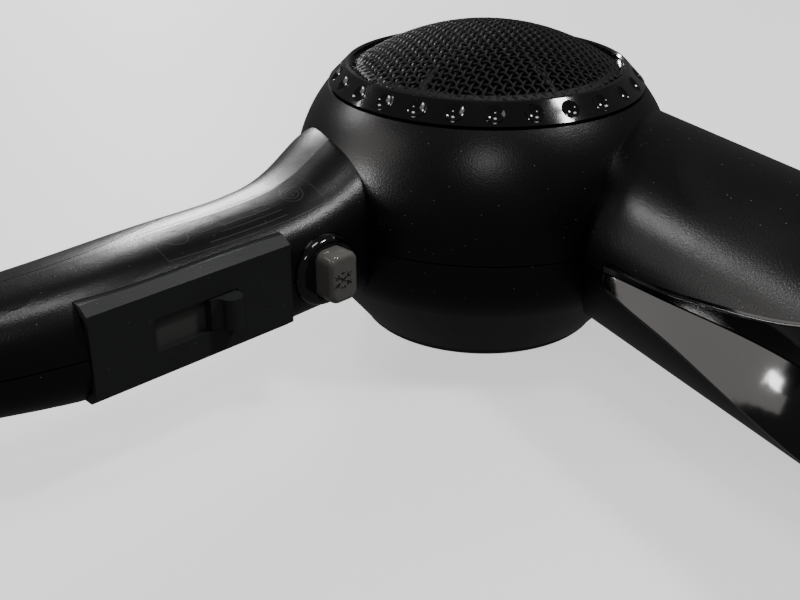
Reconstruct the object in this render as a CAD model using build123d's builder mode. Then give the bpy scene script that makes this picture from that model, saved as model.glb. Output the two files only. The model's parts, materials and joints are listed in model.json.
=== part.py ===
"""Hand-held hair dryer with a side-intake fan drum, lying on its side.

Frame: +Z is the fan's axis, +X is the way the air leaves the barrel, and the handle points to -Y.
The origin is on the fan's axis, in the plane that the dryer rests on.  All sizes are in millimetres.
"""
from build123d import *
import math
import os

os.makedirs("parts", exist_ok=True)

# ---------------------------------------------------------------- driving dimensions
MID = 32.5  # height of the seam between the two housing shells above the table
WALL = 2.2  # wall of the moulded shells
SEAM_GAP = 0.3  # shadow line between the shells
CLEAR = 0.3  # gap round every piece that moves

DRUM_R = 49.0  # fan drum
DRUM_TOP = 29.5  # seat of the intake ring, above the seam
DRUM_STRAIGHT = 5.0  # where the upright wall turns into the rounded shoulder, above the seam
SHOULDER_R = 37.8
CONE_TOP = 10.3  # where the wall and the cone would meet in a corner, below the seam
CONE_BOTTOM = 31.0
CONE_END_R = 32.0
CONE_ROUNDING = 15.0
MOUTH_R = 36.2  # round mouth for the intake ring
BASE_R = 29.2  # round mouth for the base cover

BARREL_R = 26.6
BARREL_Y = 24.0  # the barrel leaves the drum about along its tangent
SHELL_END = 132.0  # where the matt shells stop and the outlet collar starts
OUTLET_END = 158.0
SPIGOT_R = 24.0  # plain spigot that an attachment pushes over
SPIGOT_LENGTH = 12.0

HANDLE_ANGLE = -73.0  # direction of the handle, seen from above
GRIP_FACE = 9.5  # the handle's flat inner face, measured square to that direction
# stations along the handle: distance, inner face, half width, height above and below the seam
HANDLE_STATIONS = [
    (40.0, GRIP_FACE, 20.5, 23.0, 17.0),
    (48.0, GRIP_FACE, 19.0, 20.4, 15.2),
    (55.0, GRIP_FACE, 17.6, 17.8, 14.3),
    (62.0, GRIP_FACE, 16.7, 15.8, 14.0),
    (72.0, GRIP_FACE, 16.1, 14.7, 14.2),
    (92.0, GRIP_FACE, 16.0, 14.5, 14.5),
    (120.0, GRIP_FACE, 15.7, 14.0, 14.0),
    (140.0, 4.8, 15.0, 12.4, 12.4),
    (150.0, 1.5, 14.8, 12.0, 12.0),
    (160.0, -2.0, 14.6, 11.8, 11.8),
    (169.0, -5.4, 14.3, 11.6, 11.6),
    (178.0, -9.0, 14.0, 11.4, 11.4),
]
HANDLE_END = HANDLE_STATIONS[-1][0]
HANDLE_END_N = HANDLE_STATIONS[-1][1] - HANDLE_STATIONS[-1][2]  # middle of the handle's end
FULLNESS = 0.70  # how square the handle's section is, 0.55 being an ellipse
# seam of the handle's rear cover: distance along the handle, distance from its middle plane
COVER_SEAM = [(77, -24), (83, -18.5), (90, -13.5), (100, -9.8), (114, -7.6), (130, -9.2), (150, -13.5), (168, -19.5)]
COVER_GAP = 0.15

# scoop along the barrel's inner side: distance along the barrel, depth, half width above and below the seam
SCOOP_STATIONS = [
    (57.0, 0.5, 2.4, 3.0),
    (63.0, 2.0, 2.9, 3.7),
    (75.0, 4.0, 3.9, 5.5),
    (87.0, 6.4, 6.0, 7.7),
    (99.0, 8.3, 8.4, 11.0),
    (110.0, 8.9, 11.0, 14.6),
    (118.0, 8.4, 13.8, 17.6),
    (126.0, 6.2, 17.8, 20.0),
    (132.0, 2.4, 20.5, 21.5),
]
SCOOP_SPREAD = 1.4  # carries the scoop's faces on, out of the barrel
TRIM_WALL = 1.8
TRIM_LIP = 0.4  # width of the trim's lip round the scoop, for each millimetre of its wall

RING_OUTER_R = 39.8
RING_INNER_R = 34.6
RING_HEIGHT = 5.25  # a ring's cone stands this far out of its mouth
DIMPLES = 26
DIMPLE_SPHERE_R = 3.3
DIMPLE_DEPTH = 1.0
DOME_R = 34.1  # sieve
DOME_RISE = 10.0
DOME_WALL = 0.8

PLATE_START = 72.8  # switch plate, along the handle
PLATE_END = 123.2
PLATE_FLAT_HALF = 9.4  # half height of its flat face, between the bevels
PLATE_SHOULDER = 7.2  # where the bevels end, from the handle's middle plane
KNOB_START = 87.9
KNOB_LENGTH = 7.0
KNOB_END = KNOB_START + KNOB_LENGTH
SWITCH_TRAVEL = 13.0
SLOT_START = KNOB_START - 0.5
SLOT_END = KNOB_END + SWITCH_TRAVEL + 0.5

LUG_ANGLE = 14.0  # three bayonet lugs hold the intake ring
LUG_DIRECTIONS = (20.0, 140.0, 260.0)
RING_TWIST = 18.0  # turn that frees them

BUTTON_AT = 62.6  # cool button, along the handle
BUTTON_FACE = 16.0  # how far its face stands out
BUTTON_TRAVEL = 2.5

FAN_R = 31.0
FAN_BLADES = 24
MOTOR_R = 19.0
SHAFT_R = 1.5
TUBE_R = 15.2  # mica tube round the heater

# ---------------------------------------------------------------- frames
along = Vector(math.cos(math.radians(HANDLE_ANGLE)), math.sin(math.radians(HANDLE_ANGLE)), 0)
inward = Vector(-along.Y, along.X, 0)  # out of the handle's inner face, towards the barrel


def handle_plane(distance):
    """Section of the handle: x is inward, y is up."""
    return Plane(origin=along * distance + Vector(0, 0, MID), x_dir=inward, z_dir=along)


def face_plane(height):
    """Plane parallel to the handle's inner face: x is along the handle, y is down."""
    return Plane(origin=inward * height + Vector(0, 0, MID), x_dir=along, z_dir=inward)


def barrel_plane(x):
    """Section of the barrel: x is +Y, y is up."""
    return Plane(origin=(x, BARREL_Y, MID), x_dir=(0, 1, 0), z_dir=(1, 0, 0))


def handle_solid(inset, end):
    """The handle's outer form, or the same form inset by a wall."""
    with BuildPart() as form:
        for distance, face, half_width, above, below in HANDLE_STATIONS:
            middle = face - half_width
            w = half_width - inset
            with BuildSketch(handle_plane(min(distance, end))):
                with BuildLine():
                    for side, height in ((1, above), (-1, above), (-1, -below), (1, -below)):
                        h = height - math.copysign(inset, height)
                        Bezier(
                            (middle + side * w, 0),
                            (middle + side * w, h * FULLNESS),
                            (middle + side * w * FULLNESS, h),
                            (middle, h),
                        )
                make_face()
        loft()
    return form.part


def drum_solid(inset):
    """The fan drum: an upright wall, a rounded shoulder above it and a cone below it."""
    wall_r = DRUM_R - inset
    top = DRUM_TOP - inset
    bottom = CONE_BOTTOM - inset
    shoulder = SHOULDER_R - inset
    top_r = DRUM_R - SHOULDER_R + math.sqrt(shoulder**2 - (top - DRUM_STRAIGHT) ** 2)
    slope = (DRUM_R - CONE_END_R) / (CONE_BOTTOM - CONE_TOP)
    shift = inset * math.sqrt(1 + slope**2)  # horizontal shift of the inset cone
    corner = CONE_TOP + (inset - shift) / slope
    bottom_r = CONE_END_R - shift + (CONE_BOTTOM - bottom) * slope
    with BuildPart() as form:
        with BuildSketch(Plane.XZ):
            with BuildLine():
                RadiusArc((wall_r, MID + DRUM_STRAIGHT), (top_r, MID + top), -shoulder)
                Polyline((top_r, MID + top), (0, MID + top), (0, MID - bottom), (bottom_r, MID - bottom))
                FilletPolyline(
                    (bottom_r, MID - bottom),
                    (wall_r, MID - corner),
                    (wall_r, MID + DRUM_STRAIGHT),
                    radius=CONE_ROUNDING - inset,
                )
            make_face()
        revolve(axis=Axis.Z)
    return form.part


def barrel_solid(inset, end):
    with BuildPart() as form:
        with BuildSketch(barrel_plane(0)):
            Circle(BARREL_R - inset)
        extrude(amount=end)
    return form.part


def body_solid(inset):
    """Drum, handle and barrel as one block, inset by a wall or not at all."""
    drum = drum_solid(inset)
    handle = handle_solid(inset, HANDLE_END - inset)
    barrel = barrel_solid(inset, SHELL_END + 1 if inset else SHELL_END)
    with BuildPart() as block:
        add(drum)
        add(handle)
        add(barrel)
    return block.part


def scoop_solid(extra):
    """The wedge-shaped hollow along the barrel's inner side, or the same with its walls set back."""
    with BuildPart() as form:
        for x, depth, above, below in SCOOP_STATIONS:
            bottom = -(BARREL_R - depth - extra)
            far = -BARREL_R - 6
            rims = []
            for half_width in (above, -below):
                rim = half_width + math.copysign(TRIM_LIP * extra, half_width)
                edge = -math.sqrt(BARREL_R**2 - rim**2)
                rims.append((bottom + (edge - bottom) * SCOOP_SPREAD, rim * SCOOP_SPREAD))
            upper, lower = rims
            with BuildSketch(barrel_plane(x)):
                Polygon((bottom, 0), upper, (far, upper[1]), (far, lower[1]), lower, align=None)
        loft()
    return form.part


def above_seam(gap):
    with BuildPart() as block:
        with BuildSketch(Plane.XY.offset(MID + gap)):
            Rectangle(600, 600)
        extrude(amount=200)
    return block.part


def below_seam(gap):
    with BuildPart() as block:
        with BuildSketch(Plane.XY.offset(MID - gap)):
            Rectangle(600, 600)
        extrude(amount=-200)
    return block.part


def save(piece, name):
    """Labels a finished sub-part and writes it."""
    piece.part.label = name
    export_step(piece.part, f"parts/{name}.step")


plan = Plane(origin=(0, 0, MID), x_dir=along, z_dir=(0, 0, 1))  # x along the handle, y inward
upper_half = above_seam(SEAM_GAP / 2)
lower_half = below_seam(SEAM_GAP / 2)
outer_body = body_solid(0)
inner_body = body_solid(WALL)

# ---------------------------------------------------------------- openings in the shells
PLATE_HALF = 11.2  # half height of the opening for the switch plate
PLATE_SEAT = 4.6  # how deep that opening starts, from the handle's middle plane
BEZEL_ALONG = 9.2  # half length of the cool button's oval bezel
BEZEL_UP = 8.3
GLAND_R = 5.6

with BuildPart() as shell_openings:
    # switch plate
    with BuildSketch(face_plane(PLATE_SEAT)):
        with Locations(((PLATE_START + PLATE_END) / 2, 0)):
            Rectangle(PLATE_END - PLATE_START + 0.3, 2 * PLATE_HALF)
    extrude(amount=12)
    # bezel of the cool button
    with BuildSketch(face_plane(PLATE_SEAT)):
        with Locations((BUTTON_AT, 0)):
            Ellipse(BEZEL_ALONG + 0.1, BEZEL_UP + 0.1)
    extrude(amount=12)
    # cord gland in the handle's end
    with BuildSketch(handle_plane(HANDLE_END - 6)):
        with Locations((HANDLE_END_N, 0)):
            Circle(GLAND_R)
    extrude(amount=10)
    # notches that let the intake ring's lugs out
    for direction in LUG_DIRECTIONS:
        with BuildSketch(Plane.XZ.rotated((0, 0, direction + RING_TWIST - 1.5))):
            with Locations((MOUTH_R, MID + DRUM_TOP - 1)):
                Rectangle(2.4, 6)
        revolve(axis=Axis.Z, revolution_arc=LUG_ANGLE + 3)
    # air in at the top and at the base
    with BuildSketch(Plane.XY.offset(MID + DRUM_TOP - 8)):
        Circle(MOUTH_R)
    extrude(amount=10)
    with BuildSketch(Plane.XY.offset(MID - CONE_BOTTOM + 8)):
        Circle(BASE_R)
    extrude(amount=-10)


def cover_region(grow):
    """Plan of the handle's rear cover, carried up and down through the whole handle."""
    with BuildPart() as region:
        with BuildSketch(plan.offset(-40)):
            with BuildLine():
                seam = Spline([(t, n + grow) for t, n in COVER_SEAM])
                Polyline(
                    seam @ 1,
                    (COVER_SEAM[-1][0] + 4 + grow, COVER_SEAM[-1][1] - 6),
                    (COVER_SEAM[-1][0] + 4 + grow, -60),
                    (COVER_SEAM[0][0] - grow, -60),
                    seam @ 0,
                )
            make_face()
        extrude(amount=80)
    return region.part


cover_block = cover_region(0)
cover_recess = cover_region(COVER_GAP)
scoop = scoop_solid(0)
scoop_recess = scoop_solid(TRIM_WALL + 0.1)

# ---------------------------------------------------------------- screws and their posts
# each housing screw: x, y, height of its head's seat above the table
housing_screws_at = []
for distance, offset, seat in ((132, -3, MID - 8.5), (77, -13, MID - 9.0)):
    spot = along * distance + inward * offset
    housing_screws_at.append((spot.X, spot.Y, seat))
housing_screws_at.append((74, BARREL_Y + 20.6, MID - 11.0))
DRUM_SCREW_AT = (-27.8, -30.8)
housing_screws_at.append((*DRUM_SCREW_AT, MID - 14.0))
POST_R = 4.0
HEAD_R = 2.8
HEAD_HEIGHT = 2.0
SCREW_R = 1.4
SCREW_LENGTH = 16.0
PILLAR_R = 38.0  # pillars under the motor bracket
PILLAR_TOP = MID + 4.0
PILLAR_START = 75  # direction of the first of three pillars


def posts(below):
    """Screw posts of one shell, trimmed to the body's outer form."""
    with BuildPart() as block:
        for x, y, _ in housing_screws_at:
            with BuildSketch(Plane.XY.offset(MID)):
                with Locations((x, y)):
                    Circle(POST_R)
            extrude(amount=-60 if below else 60)
        add(outer_body, mode=Mode.INTERSECT)
    return block.part


lower_posts = posts(True)
upper_posts = posts(False)

with BuildPart() as pillars:
    with BuildSketch(Plane.XY.offset(PILLAR_TOP)):
        with PolarLocations(PILLAR_R, 3, start_angle=PILLAR_START):
            Circle(3)
    extrude(amount=-60)
    add(outer_body, mode=Mode.INTERSECT)

with BuildPart() as screw_holes:
    for x, y, seat in housing_screws_at:
        with BuildSketch(Plane.XY.offset(seat)):
            with Locations((x, y)):
                Circle(HEAD_R + 0.2)
        extrude(amount=-60)
        with BuildSketch(Plane.XY.offset(seat - 1)):
            with Locations((x, y)):
                Circle(SCREW_R)
        extrude(amount=SCREW_LENGTH + 1)

# ---------------------------------------------------------------- housing shells
with BuildPart() as upper_housing:
    add(outer_body)
    add(inner_body, mode=Mode.SUBTRACT)
    add(upper_posts)
    add(shell_openings.part, mode=Mode.SUBTRACT)
    add(cover_recess, mode=Mode.SUBTRACT)
    add(scoop_recess, mode=Mode.SUBTRACT)
    add(screw_holes.part, mode=Mode.SUBTRACT)
    add(upper_half, mode=Mode.INTERSECT)
save(upper_housing, "upper_housing")

with BuildPart() as lower_housing:
    add(outer_body)
    add(inner_body, mode=Mode.SUBTRACT)
    add(lower_posts)
    add(shell_openings.part, mode=Mode.SUBTRACT)
    add(cover_recess, mode=Mode.SUBTRACT)
    add(scoop_recess, mode=Mode.SUBTRACT)
    add(lower_half, mode=Mode.INTERSECT)
    add(pillars.part)
    add(screw_holes.part, mode=Mode.SUBTRACT)
save(lower_housing, "lower_housing")

with BuildPart() as handle_cover:
    add(outer_body)
    add(inner_body, mode=Mode.SUBTRACT)
    add(cover_block, mode=Mode.INTERSECT)
save(handle_cover, "handle_cover")

for half, name in ((upper_half, "scoop_trim_upper"), (lower_half, "scoop_trim_lower")):
    trim_form = scoop_solid(TRIM_WALL)
    with BuildPart() as trim:
        add(outer_body)
        add(trim_form, mode=Mode.INTERSECT)
        add(scoop, mode=Mode.SUBTRACT)
        add(half, mode=Mode.INTERSECT)
    save(trim, name)

# ---------------------------------------------------------------- outlet collar and its guard
COLLAR_END = 146.0
OUTLET_BORE_R = 21.8
with BuildPart() as outlet_collar:
    with BuildSketch(barrel_plane(SHELL_END + 0.1)):
        Circle(BARREL_R)
    extrude(amount=COLLAR_END - SHELL_END - 0.1)
    fillet(outlet_collar.faces().sort_by(Axis.X)[-1].edges(), radius=1.6)
    with BuildSketch(barrel_plane(COLLAR_END)):
        Circle(SPIGOT_R)
    extrude(amount=SPIGOT_LENGTH)
    chamfer(outlet_collar.faces().sort_by(Axis.X)[-1].edges(), length=0.6)
    with BuildSketch(barrel_plane(SHELL_END)):
        Circle(OUTLET_BORE_R)
    extrude(amount=OUTLET_END - SHELL_END + 1, mode=Mode.SUBTRACT)
save(outlet_collar, "outlet_collar")

GUARD_AT = 147.0
GUARD_THICK = 1.4
GUARD_RINGS = (6.0, 10.5, 15.0)
with BuildPart() as outlet_guard:
    with BuildSketch(barrel_plane(GUARD_AT)):
        Circle(OUTLET_BORE_R)
        Circle(OUTLET_BORE_R - 2.0, mode=Mode.SUBTRACT)
        for ring_r in GUARD_RINGS:
            Circle(ring_r + 0.6)
            Circle(ring_r - 0.6, mode=Mode.SUBTRACT)
        with PolarLocations(0, 3):
            Rectangle(2 * OUTLET_BORE_R - 2, 1.2)
        Circle(2.5)
    extrude(amount=GUARD_THICK)
save(outlet_guard, "outlet_guard")

# ---------------------------------------------------------------- intake cap: ring, sieve and its frame
SEAT = MID + DRUM_TOP
RING_TOP = SEAT + RING_HEIGHT
SPIGOT_OUT = MOUTH_R - CLEAR
SPIGOT_IN = SPIGOT_OUT - 1.6
SPIGOT_DEPTH = 3.4
with BuildPart() as intake_ring:
    with BuildSketch(Plane.XZ):
        with BuildLine():
            Polyline(
                (RING_OUTER_R - 0.5, SEAT + 0.3),
                (RING_OUTER_R, SEAT + 0.8),
                (RING_INNER_R + 0.9, RING_TOP),
                (RING_INNER_R + 0.2, RING_TOP + 0.15),
                (RING_INNER_R - 0.3, RING_TOP - 0.25),
                (RING_INNER_R - 0.3, RING_TOP - 1.5),
                (RING_INNER_R - 1.6, RING_TOP - 1.5),
                (RING_INNER_R - 1.6, RING_TOP - 2.5),
                (SPIGOT_IN, RING_TOP - 3.2),
                (SPIGOT_IN, SEAT - SPIGOT_DEPTH),
                (SPIGOT_OUT, SEAT - SPIGOT_DEPTH),
                (SPIGOT_OUT, SEAT + 0.3),
                close=True,
            )
        make_face()
    revolve(axis=Axis.Z)
    # bayonet lugs that turn under the rim of the mouth
    for direction in LUG_DIRECTIONS:
        with BuildSketch(Plane.XZ.rotated((0, 0, direction))):
            with Locations(((SPIGOT_OUT + 0.3, SEAT - SPIGOT_DEPTH + 0.4))):
                Rectangle(1.6, 0.8)
        revolve(axis=Axis.Z, revolution_arc=LUG_ANGLE)
    # finger dimples round the cone
    slope = math.atan2(RING_HEIGHT - 0.8, RING_OUTER_R - RING_INNER_R - 0.9)
    middle_r = (RING_OUTER_R + RING_INNER_R + 0.9) / 2
    middle_z = (RING_TOP + SEAT + 0.8) / 2
    lift = DIMPLE_SPHERE_R - DIMPLE_DEPTH
    with PolarLocations(middle_r + lift * math.sin(slope), DIMPLES):
        with Locations((0, 0, middle_z + lift * math.cos(slope))):
            Sphere(DIMPLE_SPHERE_R, mode=Mode.SUBTRACT)
save(intake_ring, "intake_ring")

DOME_EDGE = RING_TOP - 1.5 + 0.1  # the sieve's rim lies on the ring's ledge
dome_sphere = (DOME_R**2 + DOME_RISE**2) / (2 * DOME_RISE)


def dome_cap(drop, edge_r, thickness):
    """Part of a spherical shell, drop below the sieve's outer face and out to edge_r."""
    outer = dome_sphere - drop
    inner = outer - thickness
    centre = DOME_EDGE + DOME_WALL + DOME_RISE - dome_sphere
    with BuildPart() as cap:
        with BuildSketch(Plane.XZ):
            with BuildLine():
                outer_z = centre + math.sqrt(outer**2 - edge_r**2)
                inner_z = centre + math.sqrt(inner**2 - edge_r**2)
                RadiusArc((edge_r, outer_z), (0, centre + outer), -outer)
                Line((0, centre + outer), (0, centre + inner))
                RadiusArc((0, centre + inner), (edge_r, inner_z), inner)
                Line((edge_r, inner_z), (edge_r, outer_z))
            make_face()
        revolve(axis=Axis.Z)
    return cap.part


with BuildPart() as sieve:
    add(dome_cap(0, DOME_R, DOME_WALL))
save(sieve, "sieve")

FRAME_R = RING_INNER_R - 1.9
FRAME_RIB = 1.4
frame_shell = dome_cap(DOME_WALL + 0.1, FRAME_R, 1.6)
with BuildPart() as sieve_frame:
    with BuildSketch(Plane.XY.offset(MID)):
        Circle(FRAME_R)
        Circle(FRAME_R - 1.6, mode=Mode.SUBTRACT)
        Circle(14)
        Circle(14 - FRAME_RIB, mode=Mode.SUBTRACT)
        with PolarLocations(0, 3):
            Rectangle(2 * FRAME_R - 1, FRAME_RIB)
        Circle(4)
    extrude(amount=60)
    add(frame_shell, mode=Mode.INTERSECT)
save(sieve_frame, "sieve_frame")

# ---------------------------------------------------------------- base cover, flat on the table
BASE_RIM_R = 31.4
BASE_FACE = MID - CONE_BOTTOM
with BuildPart() as base_cover:
    with BuildSketch(Plane.XY):
        Circle(BASE_RIM_R)
    extrude(amount=BASE_FACE)
    chamfer(base_cover.faces().sort_by(Axis.Z)[0].edges(), length=0.5)
    with BuildSketch(Plane.XY.offset(BASE_FACE)):
        Circle(BASE_R - 0.1)
        Circle(BASE_R - 1.8, mode=Mode.SUBTRACT)
    extrude(amount=3)
    # concentric vent slots, broken by six ribs
    with BuildSketch(Plane.XY):
        for slot_r in (11.0, 15.0, 19.0, 23.0):
            Circle(slot_r + 1.2)
            Circle(slot_r - 1.2, mode=Mode.SUBTRACT)
        with PolarLocations(0, 3, start_angle=30):
            Rectangle(60, 2.4, mode=Mode.SUBTRACT)
    extrude(amount=BASE_FACE, mode=Mode.SUBTRACT)
save(base_cover, "base_cover")

# ---------------------------------------------------------------- motor
MOTOR_BOTTOM = MID - 25.0
MOTOR_TOP = MID + 4.0
CAN_WALL = 1.4
SHAFT_BORE_R = SHAFT_R + 0.05
with BuildPart() as motor_can:
    with BuildSketch(Plane.XY.offset(MOTOR_BOTTOM)):
        Circle(MOTOR_R)
    extrude(amount=MOTOR_TOP - MOTOR_BOTTOM)
    fillet(motor_can.faces().sort_by(Axis.Z)[0].edges(), radius=1.5)
    with BuildSketch(Plane.XY.offset(MOTOR_BOTTOM + CAN_WALL)):
        Circle(MOTOR_R - CAN_WALL)
    extrude(amount=MOTOR_TOP, mode=Mode.SUBTRACT)
    with BuildSketch(Plane.XY.offset(MOTOR_BOTTOM - 1)):
        Circle(4)
    extrude(amount=3)
    with BuildSketch(Plane.XY.offset(MOTOR_BOTTOM - 2)):
        Circle(SHAFT_BORE_R)
    extrude(amount=10, mode=Mode.SUBTRACT)
save(motor_can, "motor_can")

with BuildPart() as motor_end_plate:
    with BuildSketch(Plane.XY.offset(MOTOR_TOP - 2)):
        Circle(MOTOR_R - CAN_WALL)
        Circle(SHAFT_BORE_R, mode=Mode.SUBTRACT)
    extrude(amount=2)
save(motor_end_plate, "motor_end_plate")

MAGNET_R = MOTOR_R - CAN_WALL
with BuildPart() as motor_magnets:
    with BuildSketch(Plane.XY.offset(MOTOR_BOTTOM + 5)):
        Circle(MAGNET_R)
        Circle(MAGNET_R - 3.4, mode=Mode.SUBTRACT)
        Rectangle(7, 2 * MAGNET_R + 1, mode=Mode.SUBTRACT)
    extrude(amount=18)
save(motor_magnets, "motor_magnets")

with BuildPart() as motor_rotor:
    with BuildSketch(Plane.XY.offset(MOTOR_BOTTOM + 6)):
        Circle(MAGNET_R - 3.8)
        with PolarLocations(MAGNET_R - 5.5, 5):
            Rectangle(7, 2.2, mode=Mode.SUBTRACT)
            Circle(2.4, mode=Mode.SUBTRACT)
    extrude(amount=16)
    with BuildSketch(Plane.XY.offset(MOTOR_BOTTOM + 22)):
        Circle(4.2)
    extrude(amount=4)
    with BuildSketch(Plane.XY.offset(MOTOR_BOTTOM)):
        Circle(SHAFT_R)
    extrude(amount=40, mode=Mode.SUBTRACT)
save(motor_rotor, "motor_rotor")

FAN_BOTTOM = MID + 7.5
FAN_TOP = MID + 23.0
with BuildPart() as motor_shaft:
    with BuildSketch(Plane.XY.offset(MOTOR_BOTTOM - 0.5)):
        Circle(SHAFT_R)
    extrude(amount=FAN_TOP - MOTOR_BOTTOM - 2)
    chamfer(motor_shaft.faces().sort_by(Axis.Z)[-1].edges(), length=0.4)
save(motor_shaft, "motor_shaft")

# the bracket hangs the motor from the three pillars of the lower shell
BRACKET_THICK = 2.0
with BuildPart() as motor_bracket:
    with BuildSketch(Plane.XY.offset(PILLAR_TOP)):
        Circle(MOTOR_R + 3)
        with PolarLocations(PILLAR_R / 2, 3, start_angle=PILLAR_START):
            Rectangle(PILLAR_R, 7)
        with PolarLocations(PILLAR_R, 3, start_angle=PILLAR_START):
            Circle(3.5)
            Circle(SCREW_R, mode=Mode.SUBTRACT)
        Circle(6, mode=Mode.SUBTRACT)
    extrude(amount=BRACKET_THICK)
save(motor_bracket, "motor_bracket")

with BuildPart() as bracket_screws:
    with BuildSketch(Plane.XY.offset(PILLAR_TOP)):
        with PolarLocations(PILLAR_R, 3, start_angle=PILLAR_START):
            Circle(SCREW_R)
    extrude(amount=BRACKET_THICK)
    with BuildSketch(Plane.XY.offset(PILLAR_TOP + BRACKET_THICK)):
        with PolarLocations(PILLAR_R, 3, start_angle=PILLAR_START):
            Circle(HEAD_R)
    extrude(amount=1.6)
save(bracket_screws, "bracket_screws")

# ---------------------------------------------------------------- impeller and its inlet
HUB_R = 5.0
BLADE_IN_R = 20.0
BLADE_THICK = 1.0
with BuildPart() as impeller:
    with BuildSketch(Plane.XY.offset(FAN_BOTTOM)):
        Circle(FAN_R)
    extrude(amount=1.2)
    with BuildSketch(Plane.XY.offset(FAN_BOTTOM)):
        Circle(HUB_R)
    extrude(amount=12)
    with BuildSketch(Plane.XY.offset(FAN_BOTTOM)):
        with PolarLocations(0, FAN_BLADES):
            with Locations(((BLADE_IN_R + FAN_R) / 2, 0)):
                Rectangle(FAN_R - BLADE_IN_R - 0.6, BLADE_THICK, rotation=28)
    extrude(amount=FAN_TOP - FAN_BOTTOM)
    with BuildSketch(Plane.XY.offset(FAN_TOP - 1.2)):
        Circle(FAN_R)
        Circle(FAN_R - 3.5, mode=Mode.SUBTRACT)
    extrude(amount=1.2)
    with BuildSketch(Plane.XY.offset(FAN_BOTTOM - 1)):
        Circle(SHAFT_R)
    extrude(amount=30, mode=Mode.SUBTRACT)
save(impeller, "impeller")

BELL_AT = MID + 23.8
with BuildPart() as inlet_bell:
    with BuildSketch(Plane.XY.offset(BELL_AT)):
        Circle(40.4)
        Circle(26, mode=Mode.SUBTRACT)
        with Locations(DRUM_SCREW_AT):
            Circle(POST_R + 0.2, mode=Mode.SUBTRACT)
    extrude(amount=1.2)
    with BuildSketch(Plane.XY.offset(BELL_AT + 1.2)):
        Circle(28)
        Circle(26, mode=Mode.SUBTRACT)
    extrude(amount=2)
save(inlet_bell, "inlet_bell")

# ---------------------------------------------------------------- heater in the barrel
TUBE_START = 56.0
TUBE_END = 144.0
TUBE_WALL = 0.6
BOARD_HALF = 12.2
BOARD_THICK = 0.8
BOARD_START = 60.0
BOARD_END = 140.0
COIL_R = 13.4
COIL_WIRE_R = 0.45
COIL_PITCH = 6.5
COIL_START = 66.0
COIL_TURNS = 10
with BuildPart() as mica_tube:
    with BuildSketch(barrel_plane(TUBE_START)):
        Circle(TUBE_R)
        Circle(TUBE_R - TUBE_WALL, mode=Mode.SUBTRACT)
    extrude(amount=TUBE_END - TUBE_START)
save(mica_tube, "mica_tube")

board_middle = (BOARD_START + BOARD_END) / 2
board_length = BOARD_END - BOARD_START
with BuildPart() as mica_board_upright:
    with BuildSketch(Plane.XZ.offset(-BARREL_Y)):
        with Locations((board_middle, MID)):
            Rectangle(board_length, 2 * BOARD_HALF)
        with Locations((board_middle + board_length / 4, MID)):
            Rectangle(board_length / 2, BOARD_THICK, mode=Mode.SUBTRACT)
    extrude(amount=BOARD_THICK / 2, both=True)
save(mica_board_upright, "mica_board_upright")

with BuildPart() as mica_board_level:
    with BuildSketch(Plane.XY.offset(MID)):
        with Locations((board_middle, BARREL_Y)):
            Rectangle(board_length, 2 * BOARD_HALF)
        with Locations((board_middle - board_length / 4, BARREL_Y)):
            Rectangle(board_length / 2, BOARD_THICK, mode=Mode.SUBTRACT)
    extrude(amount=BOARD_THICK / 2, both=True)
save(mica_board_level, "mica_board_level")

with BuildPart() as heating_coil:
    with BuildLine():
        coil_path = Helix(
            pitch=COIL_PITCH,
            height=COIL_PITCH * COIL_TURNS,
            radius=COIL_R,
            center=(COIL_START, BARREL_Y, MID),
            direction=(1, 0, 0),
        )
    with BuildSketch(Plane(origin=coil_path @ 0, z_dir=coil_path % 0)):
        Circle(COIL_WIRE_R)
    sweep()
save(heating_coil, "heating_coil")

with BuildPart() as thermal_cutout:
    with BuildSketch(Plane.XY.offset(MID + BOARD_THICK / 2)):
        with Locations((72, BARREL_Y - 6)):
            RectangleRounded(12, 8, radius=1)
    extrude(amount=4)
save(thermal_cutout, "thermal_cutout")

with BuildPart() as thermal_fuse:
    with BuildSketch(Plane.YZ.offset(84)):
        with Locations((BARREL_Y - 6, MID + BOARD_THICK / 2 + 1.4)):
            Circle(1.4)
    extrude(amount=9)
save(thermal_fuse, "thermal_fuse")

for name, x, outer_r in (("heater_rear_ring", 60.0, BARREL_R - WALL), ("heater_front_ring", 134.0, OUTLET_BORE_R)):
    with BuildPart() as ring:
        with BuildSketch(barrel_plane(x)):
            Circle(outer_r)
            Circle(TUBE_R, mode=Mode.SUBTRACT)
            with PolarLocations((outer_r + TUBE_R) / 2, 8, start_angle=22.5):
                Circle((outer_r - TUBE_R) / 2 - 1.2, mode=Mode.SUBTRACT)
        extrude(amount=2)
        add(scoop_recess, mode=Mode.SUBTRACT)
    save(ring, name)

# ---------------------------------------------------------------- switch
PLATE_WALL = 1.5
SLOT_HALF = 3.8
with BuildPart() as switch_plate:
    with BuildSketch(handle_plane(PLATE_START)):
        with BuildLine():
            Polyline(
                (PLATE_SEAT, -PLATE_HALF + 0.1),
                (PLATE_SHOULDER, -PLATE_HALF + 0.1),
                (GRIP_FACE + 0.1, -PLATE_FLAT_HALF),
                (GRIP_FACE + 0.1, PLATE_FLAT_HALF),
                (PLATE_SHOULDER, PLATE_HALF - 0.1),
                (PLATE_SEAT, PLATE_HALF - 0.1),
                (PLATE_SEAT, PLATE_HALF - 1.8),
                (GRIP_FACE + 0.1 - PLATE_WALL, PLATE_FLAT_HALF - 1),
                (GRIP_FACE + 0.1 - PLATE_WALL, 1 - PLATE_FLAT_HALF),
                (PLATE_SEAT, -PLATE_HALF + 1.8),
                close=True,
            )
        make_face()
    extrude(amount=PLATE_END - PLATE_START)
    with BuildSketch(face_plane(0)):
        with Locations(((SLOT_START + SLOT_END) / 2, 0)):
            RectangleRounded(SLOT_END - SLOT_START, 2 * SLOT_HALF, radius=0.5)
    extrude(amount=20, mode=Mode.SUBTRACT)
save(switch_plate, "switch_plate")

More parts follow.
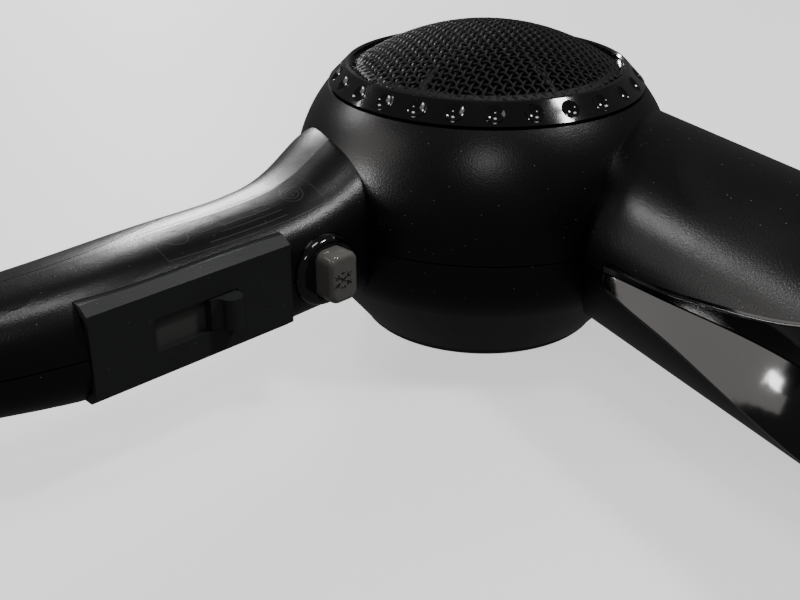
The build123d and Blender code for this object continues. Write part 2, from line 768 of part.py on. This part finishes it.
KNOB_HALF = SLOT_HALF - CLEAR
SHUTTER_FACE = 7.7
SHUTTER_THICK = 0.9
with BuildPart() as switch_knob:
    # a hollow for the fingertip that rises to a half-round ridge
    with BuildSketch(plan.offset(-KNOB_HALF)):
        with BuildLine():
            Polyline(
                (KNOB_START, 11.4),
                (KNOB_START, SHUTTER_FACE),
                (KNOB_END, SHUTTER_FACE),
                (KNOB_END, 10.0),
            )
            ThreePointArc((KNOB_END, 10.0), (KNOB_END - 1.4, 10.2), (KNOB_END - 2.2, 11.2))
            ThreePointArc((KNOB_END - 2.2, 11.2), (KNOB_START + 2.4, 13.6), (KNOB_START, 11.4))
        make_face()
    extrude(amount=2 * KNOB_HALF)
    # post that reaches down through the shutter to the switch
    with BuildSketch(face_plane(5.2)):
        with Locations((KNOB_START + KNOB_LENGTH / 2, 0)):
            Rectangle(4, 3)
    extrude(amount=SHUTTER_FACE - 5.2 + 0.2)
save(switch_knob, "switch_knob")

SHUTTER_START = 73.1
SHUTTER_END = 110.0
with BuildPart() as switch_shutter:
    with BuildSketch(face_plane(SHUTTER_FACE - SHUTTER_THICK)):
        with Locations(((SHUTTER_START + SHUTTER_END) / 2, 0)):
            Rectangle(SHUTTER_END - SHUTTER_START, 2 * SLOT_HALF + 1.2)
        with Locations((KNOB_START + KNOB_LENGTH / 2, 0)):
            Rectangle(4, 3, mode=Mode.SUBTRACT)
    extrude(amount=SHUTTER_THICK)
save(switch_shutter, "switch_shutter")

with BuildPart() as slide_switch:
    with BuildSketch(face_plane(-4)):
        with Locations((96, 0)):
            Rectangle(30, 13)
    extrude(amount=8.6)
    # three solder lugs underneath
    with BuildSketch(face_plane(-4)):
        with GridLocations(8, 1, 3, 1):
            with Locations((96, 0)):
                Rectangle(1, 3)
    extrude(amount=-4)
save(slide_switch, "slide_switch")

# ---------------------------------------------------------------- cool button
BEZEL_TOP = 10.8
BEZEL_FOOT = 5.2
BUTTON_HALF_ALONG = 4.0
BUTTON_HALF_UP = 5.9
with BuildPart() as button_bezel:
    with BuildSketch(face_plane(BEZEL_FOOT)):
        with Locations((BUTTON_AT, 0)):
            Ellipse(BEZEL_ALONG, BEZEL_UP)
    extrude(amount=BEZEL_TOP - BEZEL_FOOT)
    fillet(button_bezel.faces().sort_by(Axis((0, 0, 0), inward))[-1].edges(), radius=1.6)
    with BuildSketch(face_plane(0)):
        with Locations((BUTTON_AT, 0)):
            RectangleRounded(2 * (BUTTON_HALF_ALONG + CLEAR), 2 * (BUTTON_HALF_UP + CLEAR), radius=2.6)
    extrude(amount=20, mode=Mode.SUBTRACT)
save(button_bezel, "button_bezel")

FLANGE_TOP = BEZEL_FOOT - CLEAR
FLANGE_THICK = 1.2
SPRING_R = 2.4
SPRING_SEAT = -2.0
with BuildPart() as cool_button:
    with BuildSketch(face_plane(FLANGE_TOP)):
        with Locations((BUTTON_AT, 0)):
            RectangleRounded(2 * BUTTON_HALF_ALONG, 2 * BUTTON_HALF_UP, radius=2.4)
    extrude(amount=BUTTON_FACE - FLANGE_TOP)
    fillet(cool_button.faces().sort_by(Axis((0, 0, 0), inward))[-1].edges(), radius=1.3)
    with BuildSketch(face_plane(FLANGE_TOP)):
        with Locations((BUTTON_AT, 0)):
            RectangleRounded(2 * BUTTON_HALF_ALONG + 2.4, 2 * BUTTON_HALF_UP + 2.4, radius=3)
    extrude(amount=-FLANGE_THICK)
save(cool_button, "cool_button")

SPRING_TOP = FLANGE_TOP - FLANGE_THICK
SPRING_WIRE_R = 0.3
with BuildPart() as cool_spring:
    with BuildLine():
        spring_path = Helix(
            pitch=1.3,
            height=SPRING_TOP - SPRING_SEAT - 2 * SPRING_WIRE_R,
            radius=SPRING_R,
            center=inward * (SPRING_SEAT + SPRING_WIRE_R) + along * BUTTON_AT + Vector(0, 0, MID),
            direction=inward,
        )
    with BuildSketch(Plane(origin=spring_path @ 0, z_dir=spring_path % 0)):
        Circle(SPRING_WIRE_R)
    sweep()
save(cool_spring, "cool_spring")

with BuildPart() as cool_switch:
    with BuildSketch(face_plane(SPRING_SEAT)):
        with Locations((BUTTON_AT, 0)):
            Rectangle(9, 13)
    extrude(amount=-7)
    with BuildSketch(face_plane(SPRING_SEAT)):
        with Locations((BUTTON_AT, 0)):
            Circle(1.1)
    extrude(amount=SPRING_TOP - SPRING_SEAT - BUTTON_TRAVEL - 0.4)
save(cool_switch, "cool_switch")

# ---------------------------------------------------------------- electrics in the handle
BOARD_LEVEL = MID - 5.5
with BuildPart() as circuit_board:
    with BuildSketch(plan.offset(BOARD_LEVEL - MID)):
        with Locations((148, -13)):
            Rectangle(22, 14, rotation=-19)
    extrude(amount=1.2)
save(circuit_board, "circuit_board")

with BuildPart() as capacitor:
    with BuildSketch(plan.offset(BOARD_LEVEL - MID + 1.2)):
        with Locations((150, -13.5)):
            Rectangle(12, 5, rotation=-19)
    extrude(amount=8)
save(capacitor, "capacitor")

with BuildPart() as diodes:
    for t, n in ((137.0, -7.0), (137.0, -12.0)):
        with BuildSketch(handle_plane(t)):
            with Locations((n, BOARD_LEVEL - MID + 1.2 + 1.3)):
                Circle(1.3)
        extrude(amount=4)
save(diodes, "diodes")

GLAND_BORE_R = 3.5
GLAND_START = HANDLE_END - 6.0
GLAND_LENGTH = 9.0
with BuildPart() as cord_gland:
    with BuildSketch(handle_plane(GLAND_START)):
        with Locations((HANDLE_END_N, 0)):
            Circle(GLAND_R)
    extrude(amount=GLAND_LENGTH)
    with BuildSketch(handle_plane(HANDLE_END)):
        with Locations((HANDLE_END_N, 0)):
            Circle(GLAND_R + 1.6)
    extrude(amount=GLAND_START + GLAND_LENGTH - HANDLE_END)
    fillet(cord_gland.faces().sort_by(Axis((0, 0, 0), along))[-1].edges(), radius=0.8)
    with BuildSketch(handle_plane(GLAND_START - 1)):
        with Locations((HANDLE_END_N, 0)):
            Circle(GLAND_BORE_R)
    extrude(amount=GLAND_LENGTH + 2, mode=Mode.SUBTRACT)
save(cord_gland, "cord_gland")

# ---------------------------------------------------------------- housing screws
with BuildPart() as housing_screws:
    for x, y, seat in housing_screws_at:
        with BuildSketch(Plane.XY.offset(seat)):
            with Locations((x, y)):
                Circle(HEAD_R)
        extrude(amount=-HEAD_HEIGHT)
        with BuildSketch(Plane.XY.offset(seat)):
            with Locations((x, y)):
                Circle(SCREW_R)
        extrude(amount=SCREW_LENGTH - 0.5)
        with BuildSketch(Plane.XY.offset(seat - HEAD_HEIGHT)):
            with Locations((x, y)):
                Rectangle(3.2, 0.7)
                Rectangle(0.7, 3.2)
        extrude(amount=1.2, mode=Mode.SUBTRACT)
save(housing_screws, "housing_screws")
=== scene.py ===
import bpy
import json
import math
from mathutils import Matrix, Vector
from mathutils.bvhtree import BVHTree


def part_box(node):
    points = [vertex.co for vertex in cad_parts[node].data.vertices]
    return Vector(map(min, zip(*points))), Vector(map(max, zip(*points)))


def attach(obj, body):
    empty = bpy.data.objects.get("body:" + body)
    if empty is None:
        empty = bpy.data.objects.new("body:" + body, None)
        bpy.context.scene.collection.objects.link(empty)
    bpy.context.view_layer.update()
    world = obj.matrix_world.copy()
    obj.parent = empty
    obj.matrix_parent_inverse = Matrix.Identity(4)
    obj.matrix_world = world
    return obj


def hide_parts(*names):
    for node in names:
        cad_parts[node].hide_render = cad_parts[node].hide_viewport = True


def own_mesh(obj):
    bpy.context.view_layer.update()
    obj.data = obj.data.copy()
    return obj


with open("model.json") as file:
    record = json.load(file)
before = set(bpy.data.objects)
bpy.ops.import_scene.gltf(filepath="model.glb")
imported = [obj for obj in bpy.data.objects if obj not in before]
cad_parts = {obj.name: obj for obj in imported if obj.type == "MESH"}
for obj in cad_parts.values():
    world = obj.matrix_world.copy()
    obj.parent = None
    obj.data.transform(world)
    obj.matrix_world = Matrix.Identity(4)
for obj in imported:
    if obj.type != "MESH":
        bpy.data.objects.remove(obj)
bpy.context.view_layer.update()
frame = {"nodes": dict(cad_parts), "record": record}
NODES = frame["nodes"]
MOUNTS = {mount["name"]: mount for mount in frame["record"]["mounts"]}
SEAM_Z = MOUNTS["outlet_spigot"]["pos_m"][2]

# The handle runs from the fan's axis along ALONG; INWARD points across it, towards the barrel.
HANDLE_TURN = math.radians(-73)
ALONG = Vector((math.cos(HANDLE_TURN), math.sin(HANDLE_TURN), 0))
INWARD = Vector((-math.sin(HANDLE_TURN), math.cos(HANDLE_TURN), 0))
UP = Vector((0, 0, 1))


# ---- materials ----

def new_material(name):
    material = bpy.data.materials.new(name)
    material.use_nodes = True
    tree = material.node_tree
    shader = tree.nodes["Principled BSDF"]
    position = tree.nodes.new("ShaderNodeTexCoord").outputs["Object"]
    return material, tree, shader, position


def noise(tree, position, scale, detail=4.0, stretch=None):
    """A noise value; stretch is the scale along each axis, for drawn or turned metal."""
    source = position
    if stretch:
        mapping = tree.nodes.new("ShaderNodeMapping")
        mapping.inputs["Scale"].default_value = stretch
        tree.links.new(position, mapping.inputs["Vector"])
        source = mapping.outputs["Vector"]
    texture = tree.nodes.new("ShaderNodeTexNoise")
    texture.inputs["Scale"].default_value = scale
    texture.inputs["Detail"].default_value = detail
    tree.links.new(source, texture.inputs["Vector"])
    return texture.outputs["Fac"]


def spread(tree, value, low, high, from_low=0.3, from_high=0.7):
    """Maps a value from one range to another. Noise mostly lies between 0.3 and 0.7."""
    remap = tree.nodes.new("ShaderNodeMapRange")
    remap.inputs["From Min"].default_value = from_low
    remap.inputs["From Max"].default_value = from_high
    remap.inputs["To Min"].default_value = low
    remap.inputs["To Max"].default_value = high
    tree.links.new(value, remap.inputs["Value"])
    return remap.outputs["Result"]


def blend_colour(tree, factor, first, second):
    mix = tree.nodes.new("ShaderNodeMix")
    mix.data_type = "RGBA"
    tree.links.new(factor, mix.inputs["Factor"])
    for socket, colour in ((mix.inputs["A"], first), (mix.inputs["B"], second)):
        if isinstance(colour, tuple):
            socket.default_value = (*colour, 1)
        else:
            tree.links.new(colour, socket)
    return mix.outputs["Result"]


def bump(tree, shader, height, distance):
    node = tree.nodes.new("ShaderNodeBump")
    node.inputs["Distance"].default_value = distance
    node.inputs["Strength"].default_value = 1
    tree.links.new(height, node.inputs["Height"])
    tree.links.new(node.outputs["Normal"], shader.inputs["Normal"])


DUST_COLOUR = (0.55, 0.55, 0.53)
DUST_CELLS = 700
DUST_SIZE = 0.1


def specks(tree, position, scale, size):
    """Sparse round dots, as of dust: 1 in a dot and 0 elsewhere. About a quarter of the cells have one."""
    cells = tree.nodes.new("ShaderNodeTexVoronoi")
    cells.inputs["Scale"].default_value = scale
    tree.links.new(position, cells.inputs["Vector"])
    dots = spread(tree, cells.outputs["Distance"], 1, 0, size * 0.6, size)
    chosen = tree.nodes.new("ShaderNodeSeparateColor")
    tree.links.new(cells.outputs["Color"], chosen.inputs["Color"])
    few = spread(tree, chosen.outputs["Red"], 0, 1, 0.72, 0.75)
    both = tree.nodes.new("ShaderNodeMath")
    both.operation = "MULTIPLY"
    tree.links.new(dots, both.inputs[0])
    tree.links.new(few, both.inputs[1])
    return both.outputs[0]


def plastic(name, colour, lighter, roughness, grain, grain_depth, dust=0.0, coat=0.0):
    """Moulded plastic between two tones. Grain is the texture's scale, and grain_depth is in metres."""
    material, tree, shader, position = new_material(name)
    tone = blend_colour(tree, noise(tree, position, 60), colour, lighter)
    if dust:
        dots = specks(tree, position, DUST_CELLS, DUST_SIZE)
        weak = spread(tree, dots, 0, dust, 0, 1)
        tone = blend_colour(tree, weak, tone, DUST_COLOUR)
    tree.links.new(tone, shader.inputs["Base Color"])
    low, high = roughness
    tree.links.new(spread(tree, noise(tree, position, 35, 6), low, high), shader.inputs["Roughness"])
    shader.inputs["Coat Weight"].default_value = coat
    shader.inputs["Coat Roughness"].default_value = 0.08
    bump(tree, shader, noise(tree, position, grain, 3), grain_depth)
    return material


def metal(name, colour, roughness, stretch):
    """Metal with fine marks, drawn out where one axis of stretch is larger."""
    material, tree, shader, position = new_material(name)
    darker = tuple(0.8 * part for part in colour)
    tone = blend_colour(tree, noise(tree, position, 90), darker, colour)
    tree.links.new(tone, shader.inputs["Base Color"])
    shader.inputs["Metallic"].default_value = 1
    low, high = roughness
    polish = spread(tree, noise(tree, position, 200, 4, stretch), low, high)
    tree.links.new(polish, shader.inputs["Roughness"])
    bump(tree, shader, noise(tree, position, 600, 3, stretch), 0.00002)
    return material


# name: darker tone, lighter tone, lowest and highest roughness, grain, grain depth, dust, coat
PLASTICS = {
    "matt_shell": (
        (0.0028, 0.0028, 0.003), (0.0045, 0.0045, 0.0048),
        (0.28, 0.35), 2200, 0.00004, 0.4,
    ),
    "gloss_black": (
        (0.003, 0.003, 0.0032), (0.005, 0.005, 0.0052),
        (0.07, 0.13), 300, 0.000006, 0.15, 0.8,
    ),
    # painted reflection: the cool button is glossy black, and this grey stands in for a pale table
    # reflected in its face
    "button_painted_reflection": ((0.17, 0.164, 0.15), (0.2, 0.193, 0.177), (0.12, 0.2), 300, 0.000006, 0.1, 0.5),
    "print_grey": ((0.03, 0.03, 0.03), (0.045, 0.045, 0.045), (0.4, 0.5), 2600, 0.00002),
    "mark_grey": ((0.03, 0.029, 0.027), (0.045, 0.043, 0.04), (0.25, 0.35), 900, 0.00001),
    "switch_grey": (
        (0.022, 0.023, 0.0245), (0.029, 0.03, 0.0315),
        (0.45, 0.56), 2400, 0.00005, 0.25,
    ),
    "shutter_grey": ((0.07, 0.073, 0.068), (0.09, 0.093, 0.087), (0.4, 0.5), 2400, 0.00003),
    "sieve_wire": ((0.004, 0.004, 0.004), (0.007, 0.007, 0.007), (0.42, 0.52), 1500, 0.00002),
    "guard_black": ((0.015, 0.015, 0.015), (0.03, 0.03, 0.03), (0.35, 0.5), 1500, 0.00002),
    "inner_plastic": ((0.006, 0.006, 0.0062), (0.01, 0.01, 0.0105), (0.5, 0.62), 1600, 0.00003),
    "magnet": ((0.06, 0.06, 0.065), (0.1, 0.1, 0.1), (0.6, 0.8), 1200, 0.00005),
    "mica": ((0.5, 0.42, 0.3), (0.68, 0.6, 0.47), (0.35, 0.6), 500, 0.00004),
    "circuit": ((0.03, 0.14, 0.05), (0.05, 0.2, 0.08), (0.3, 0.45), 900, 0.00003),
    "component": ((0.3, 0.22, 0.03), (0.4, 0.3, 0.05), (0.25, 0.35), 700, 0.00002),
    "rubber_black": ((0.014, 0.014, 0.014), (0.024, 0.024, 0.024), (0.6, 0.75), 1800, 0.00005),
}
# name: colour, lowest and highest roughness, stretch of the marks
METALS = {
    "motor_steel": ((0.6, 0.6, 0.61), (0.25, 0.4), (1, 1, 12)),
    "rotor": ((0.42, 0.33, 0.26), (0.35, 0.5), (1, 1, 30)),
    "heater_wire": ((0.5, 0.47, 0.43), (0.3, 0.45), (10, 1, 1)),
    "screw_steel": ((0.5, 0.5, 0.5), (0.25, 0.4), (1, 1, 1)),
}
MATERIALS = {name: plastic(name, *values) for name, values in PLASTICS.items()}
MATERIALS.update({name: metal(name, *values) for name, values in METALS.items()})
MATERIALS["rear_cover"] = MATERIALS["matt_shell"]
MATERIALS["sieve_wire"].node_tree.nodes["Principled BSDF"].inputs["Specular IOR Level"].default_value = 0.3


def paint(piece, material):
    piece.data.materials.clear()
    piece.data.materials.append(material)


for subpart in frame["record"]["subparts"]:
    paint(NODES[subpart["node"]], MATERIALS[subpart["material_slot"]])
# paints the glossy black cool button grey, as a painted reflection of a pale table in its face
paint(NODES["cool_button"], MATERIALS["button_painted_reflection"])


# ---- helpers for new pieces ----

def add_mesh(name, vertices, faces, material, body):
    mesh = bpy.data.meshes.new(name)
    mesh.from_pydata(vertices, [], faces)
    mesh.polygons.foreach_set("use_smooth", [True] * len(mesh.polygons))
    mesh.update()
    piece = bpy.data.objects.new(name, mesh)
    bpy.context.scene.collection.objects.link(piece)
    paint(piece, material)
    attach(piece, body)
    return piece


def add_tube(vertices, faces, points, radius, sides):
    """Adds a round wire along the points, closed at both ends."""
    start = len(vertices)
    for index, point in enumerate(points):
        after = points[min(index + 1, len(points) - 1)]
        before = points[max(index - 1, 0)]
        forward = (after - before).normalized()
        across = forward.cross(UP).normalized()
        up = across.cross(forward)
        for side in range(sides):
            angle = 2 * math.pi * side / sides
            vertices.append(point + radius * (math.cos(angle) * across + math.sin(angle) * up))
    for ring in range(len(points) - 1):
        for side in range(sides):
            first = start + ring * sides + side
            second = start + ring * sides + (side + 1) % sides
            faces.append((first, first + sides, second + sides, second))
    faces.append([start + side for side in range(sides)])
    faces.append([start + (len(points) - 1) * sides + side for side in reversed(range(sides))])


# ---- woven sieve ----
WIRE_PITCH = 0.0017
WIRE_RADIUS = 0.00045
WIRE_SIDES = 6
WEAVE_DEPTH = 0.0003
WEAVE_TURN = math.radians(35)
STEPS_PER_PITCH = 4

sieve_low, sieve_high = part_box("sieve")
dome_edge = (sieve_high.x - sieve_low.x) / 2
dome_rise = sieve_high.z - sieve_low.z
dome_radius = (dome_edge ** 2 + dome_rise ** 2) / (2 * dome_rise)
wire_edge = dome_edge - WIRE_RADIUS
vertices = []
faces = []
wire_count = int(wire_edge / WIRE_PITCH)
for family in (0, 1):
    turn = WEAVE_TURN + family * math.pi / 2
    line = Vector((math.cos(turn), math.sin(turn), 0))
    side_step = Vector((-math.sin(turn), math.cos(turn), 0))
    for row in range(-wire_count, wire_count + 1):
        offset = row * WIRE_PITCH
        half = math.sqrt(wire_edge ** 2 - offset ** 2)
        steps = max(2, int(2 * half / WIRE_PITCH * STEPS_PER_PITCH))
        wire = []
        for step in range(steps + 1):
            run = -half + 2 * half * step / steps
            over = math.cos(math.pi * (run / WIRE_PITCH + row + family))
            flat = run * line + offset * side_step
            drop = dome_radius - math.sqrt(dome_radius ** 2 - flat.length_squared)
            height = sieve_high.z - WIRE_RADIUS - WEAVE_DEPTH - drop + WEAVE_DEPTH * over
            wire.append(Vector((flat.x, flat.y, height)))
        add_tube(vertices, faces, wire, WIRE_RADIUS, WIRE_SIDES)
sieve_piece = add_mesh("woven_sieve", vertices, faces, MATERIALS["sieve_wire"], "intake_cap")
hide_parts("sieve")


# ---- bead along the upper edge of the barrel's scoop ----
def surface_tree(*nodes):
    """One search tree over the surfaces of some CAD nodes."""
    corners = []
    polygons = []
    for node in nodes:
        mesh = NODES[node].data
        start = len(corners)
        corners.extend(vertex.co.copy() for vertex in mesh.vertices)
        polygons.extend([start + index for index in face.vertices] for face in mesh.polygons)
    return BVHTree.FromPolygons(corners, polygons)


AXIS_Y = MOUNTS["outlet_spigot"]["pos_m"][1]
BEAD_RADIUS = 0.00032
BEAD_SIDES = 10
BEAD_STEPS = 60
BEAD_START = 0.002
BEAD_SHORTER = 0.003
BEAD_SUNK = 0.4
SEARCH_TOP = math.radians(60)
SEARCH_ROUNDS = 14
RIM_DEPTH = 0.00012
SMOOTH_ROUNDS = 8
trim_tree = surface_tree("scoop_trim_upper", "upper_housing")
trim_low, trim_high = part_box("scoop_trim_upper")
barrel_radius = AXIS_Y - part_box("outlet_collar")[0].y


def depth_below(x, angle):
    """How far the barrel's side lies inside its round outline, angle above the seam."""
    outward = Vector((0, -math.cos(angle), math.sin(angle)))
    axis_point = Vector((x, AXIS_Y, SEAM_Z))
    hit = trim_tree.ray_cast(axis_point + 2 * barrel_radius * outward, -outward)[0]
    return barrel_radius - (hit - axis_point).length if hit else barrel_radius


bead = []
reach = barrel_radius - BEAD_RADIUS * BEAD_SUNK
for step in range(BEAD_STEPS + 1):
    x = trim_low.x + BEAD_START + (trim_high.x - trim_low.x - BEAD_SHORTER) * step / BEAD_STEPS
    # halves the range of angles until it closes on the scoop's rim
    inside, outside = 0.0, SEARCH_TOP
    for _ in range(SEARCH_ROUNDS):
        middle = (inside + outside) / 2
        if depth_below(x, middle) > RIM_DEPTH:
            inside = middle
        else:
            outside = middle
    bead.append(Vector((x, AXIS_Y - reach * math.cos(outside), SEAM_Z + reach * math.sin(outside))))
for _ in range(SMOOTH_ROUNDS):
    bead = [bead[0]] + [(a + 2 * b + c) / 4 for a, b, c in zip(bead, bead[1:], bead[2:])] + [bead[-1]]
vertices = []
faces = []
add_tube(vertices, faces, bead, BEAD_RADIUS, BEAD_SIDES)
add_mesh("scoop_bead", vertices, faces, MATERIALS["gloss_black"], "housing")


# ---- raised snow crystal on the cool button ----
MARK_REACH = 0.0027
MARK_WIRE = 0.0002
MARK_SIDES = 8
MARK_SUNK = 0.00004
MARK_TURN = 30
FORK_SHARE = 0.55
FORK_LENGTH = 0.0008
FORK_ANGLE = 50

button_low, button_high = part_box("cool_button")
button_middle = (button_low + button_high) / 2
button_face = max(vertex.co.dot(INWARD) for vertex in NODES["cool_button"].data.vertices)
mark_centre = button_middle.dot(ALONG) * ALONG + (button_face - MARK_SUNK) * INWARD + SEAM_Z * UP


def on_face(across, up):
    return mark_centre + across * ALONG + up * UP


vertices = []
faces = []
for arm in range(6):
    turn = math.radians(60 * arm + MARK_TURN)
    tip = on_face(MARK_REACH * math.cos(turn), MARK_REACH * math.sin(turn))
    add_tube(vertices, faces, [mark_centre, tip], MARK_WIRE, MARK_SIDES)
    fork_x = FORK_SHARE * MARK_REACH * math.cos(turn)
    fork_y = FORK_SHARE * MARK_REACH * math.sin(turn)
    for side in (-1, 1):
        branch = turn + side * math.radians(FORK_ANGLE)
        end = on_face(fork_x + FORK_LENGTH * math.cos(branch), fork_y + FORK_LENGTH * math.sin(branch))
        add_tube(vertices, faces, [on_face(fork_x, fork_y), end], MARK_WIRE, MARK_SIDES)
add_mesh("snow_mark", vertices, faces, MATERIALS["mark_grey"], "cool_key")


spring_node = NODES["cool_spring"]
spring_coil = bpy.data.objects.new("spring_coil", spring_node.data.copy())
bpy.context.scene.collection.objects.link(spring_coil)
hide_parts("cool_spring")
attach(spring_coil, "housing")
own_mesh(spring_coil)


# ---- printed frame of the rating label, with plain rings and rules in place of its print ----
shell_tree = surface_tree("upper_housing")
PRINT_LIFT = 0.00003
ABOVE_SHELL = 0.2
LABEL_T = (0.0575, 0.1005)  # ends of the label along the handle
LABEL_N = (-0.0075, 0.0043)  # its edges, inward of the handle's axis
FRAME_WIDTH = 0.00018
# t, n and radius of each ring
LABEL_RINGS = ((0.0628, -0.0018, 0.0026), (0.0628, -0.0018, 0.0016), (0.0948, -0.0018, 0.0029))
RING_WIDTH = 0.00022
RING_STEPS = 60
# start and end t, and n, of each rule
LABEL_RULES = (
    (0.068, 0.089, 0.0030),
    (0.068, 0.085, 0.0012),
    (0.070, 0.0895, -0.0006),
    (0.070, 0.084, -0.0024),
)
RULE_WIDTH = 0.00025


def on_shell(t, n):
    """A point just over the upper shell, t along the handle and n inward of its axis."""
    plan = t * ALONG + n * INWARD
    hit = shell_tree.ray_cast(plan + ABOVE_SHELL * UP, -UP)[0]
    return hit + PRINT_LIFT * UP


def add_print(vertices, faces, path, width):
    """A flat printed line that follows the shell along a path of (t, n) points."""
    start = len(vertices)
    count = len(path)
    for index, (t, n) in enumerate(path):
        before = path[max(index - 1, 0)]
        after = path[min(index + 1, count - 1)]
        run_t, run_n = after[0] - before[0], after[1] - before[1]
        length = math.hypot(run_t, run_n)
        side_t, side_n = -run_n / length * width / 2, run_t / length * width / 2
        vertices.append(on_shell(t + side_t, n + side_n))
        vertices.append(on_shell(t - side_t, n - side_n))
    for index in range(count - 1):
        first = start + 2 * index
        faces.append((first, first + 1, first + 3, first + 2))


def straight(first, second, steps=40):
    return [
        (first[0] + (second[0] - first[0]) * step / steps, first[1] + (second[1] - first[1]) * step / steps)
        for step in range(steps + 1)
    ]


vertices = []
faces = []
for n in LABEL_N:
    add_print(vertices, faces, straight((LABEL_T[0], n), (LABEL_T[1], n)), FRAME_WIDTH)
for t in LABEL_T:
    add_print(vertices, faces, straight((t, LABEL_N[0]), (t, LABEL_N[1])), FRAME_WIDTH)
for t, n, radius in LABEL_RINGS:
    turns = [2 * math.pi * step / RING_STEPS for step in range(RING_STEPS + 1)]
    ring = [(t + radius * math.cos(turn), n + radius * math.sin(turn)) for turn in turns]
    add_print(vertices, faces, ring, RING_WIDTH)
for start, end, n in LABEL_RULES:
    add_print(vertices, faces, straight((start, n), (end, n)), RULE_WIDTH)
add_mesh("label_print", vertices, faces, MATERIALS["print_grey"], "housing")


# ---- stage, light and camera ----
FLOOR_SIZE = 6
FLOOR_COLOUR = (0.9, 0.9, 0.9)
FLOOR_GLOW = 0.95
WORLD_STRENGTH = 0.08
LIGHT_DISTANCE = 0.8
LIGHT_TARGET = Vector((0.02, -0.02, 0.04))
CAMERA_PLACE = (0.2541, -0.1540, 0.1468)
CAMERA_LOOK = Vector((-0.798, 0.407, -0.444))
CAMERA_LENS = 53.75
CAMERA_SENSOR = 36


def floor_material(name, colour, glow):
    material, tree, shader, position = new_material(name)
    shader.inputs["Roughness"].default_value = 0.6
    shade = blend_colour(tree, noise(tree, position, 8), colour, tuple(0.985 * part for part in colour))
    tree.links.new(shade, shader.inputs["Base Color"])
    shader.inputs["Emission Color"].default_value = (*colour, 1)
    shader.inputs["Emission Strength"].default_value = glow
    return material


bpy.ops.mesh.primitive_plane_add(size=FLOOR_SIZE, location=(0, 0, 0))
floor = bpy.context.object
floor.name = "floor"
paint(floor, floor_material("floor_white", FLOOR_COLOUR, FLOOR_GLOW))
floor.visible_glossy = False
floor.visible_diffuse = False

world = bpy.data.worlds.new("studio")
world.use_nodes = True
world.node_tree.nodes["Background"].inputs["Color"].default_value = (1, 1, 1, 1)
world.node_tree.nodes["Background"].inputs["Strength"].default_value = WORLD_STRENGTH
bpy.context.scene.world = world


def add_light(name, azimuth, elevation, size, power):
    """A soft panel that faces the dryer. Azimuth is counted from +X towards +Y."""
    turn, lift = math.radians(azimuth), math.radians(elevation)
    away = Vector((math.cos(turn) * math.cos(lift), math.sin(turn) * math.cos(lift), math.sin(lift)))
    light = bpy.data.lights.new(name, "AREA")
    light.shape = "RECTANGLE"
    light.size, light.size_y = size
    light.energy = power
    holder = bpy.data.objects.new(name, light)
    bpy.context.scene.collection.objects.link(holder)
    holder.location = LIGHT_TARGET + LIGHT_DISTANCE * away
    holder.rotation_mode = "QUATERNION"
    holder.rotation_quaternion = (-away).to_track_quat("-Z", "Y")


add_light("handle_light", 170, 18, (0.08, 0.14), 2.0)
add_light("barrel_light", -142, 30, (0.12, 0.1), 0.8)
add_light("camera_side_light", -28, 40, (0.12, 0.1), 0.45)
add_light("neck_light", 58, 54, (0.12, 0.1), 2.0)
add_light("window_panel", -112, 20, (0.5, 0.6), 1.4)
add_light("low_spot", -108, 6, (0.08, 0.14), 1.2)
add_light("overhead", 0, 88, (0.22, 0.22), 1.2)
bpy.data.lights["window_panel"].color = (1, 0.95, 0.92)

camera_data = bpy.data.cameras.new("camera")
camera_data.sensor_width = CAMERA_SENSOR
camera_data.lens = CAMERA_LENS
camera = bpy.data.objects.new("camera", camera_data)
bpy.context.scene.collection.objects.link(camera)
camera.location = CAMERA_PLACE
camera.rotation_mode = "QUATERNION"
camera.rotation_quaternion = CAMERA_LOOK.to_track_quat("-Z", "Y")
bpy.context.scene.camera = camera

bpy.context.view_layer.update()
